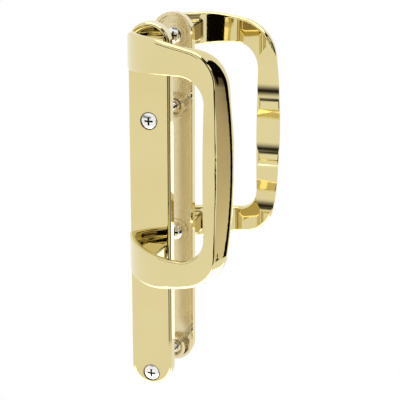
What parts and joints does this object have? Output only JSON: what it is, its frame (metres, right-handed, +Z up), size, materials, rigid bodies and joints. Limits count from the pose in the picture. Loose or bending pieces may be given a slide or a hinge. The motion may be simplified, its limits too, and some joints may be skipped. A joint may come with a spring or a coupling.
{
  "type": "patio door handle",
  "caption": "Sliding patio door handle set: polished brass plates clamp the door, each with a D-shaped pull whose thick grip has finger scallops.",
  "frame": {"origin": "on the door's inside face, which is the rim of the inside plate, at the axis of the lower through screw", "axes": "+X from the plates towards the grips, +Y from the room through the door to the outside, +Z up along the plates"},
  "size_m": [0.0838, 0.14, 0.26],
  "materials": {
    "polished_brass": "polished and lacquered",
    "screw_plating": "bright plated steel"
  },
  "bodies": {
    "root": {"interior_plate": "polished_brass", "interior_pull": "polished_brass", "exterior_plate": "polished_brass", "exterior_pull": "polished_brass", "interior_pull_screw_lower": "screw_plating", "interior_pull_screw_upper": "screw_plating", "exterior_pull_screw_lower": "screw_plating", "exterior_pull_screw_upper": "screw_plating", "through_screw_lower": "screw_plating", "through_screw_upper": "screw_plating"}
  },
  "joints": []
}
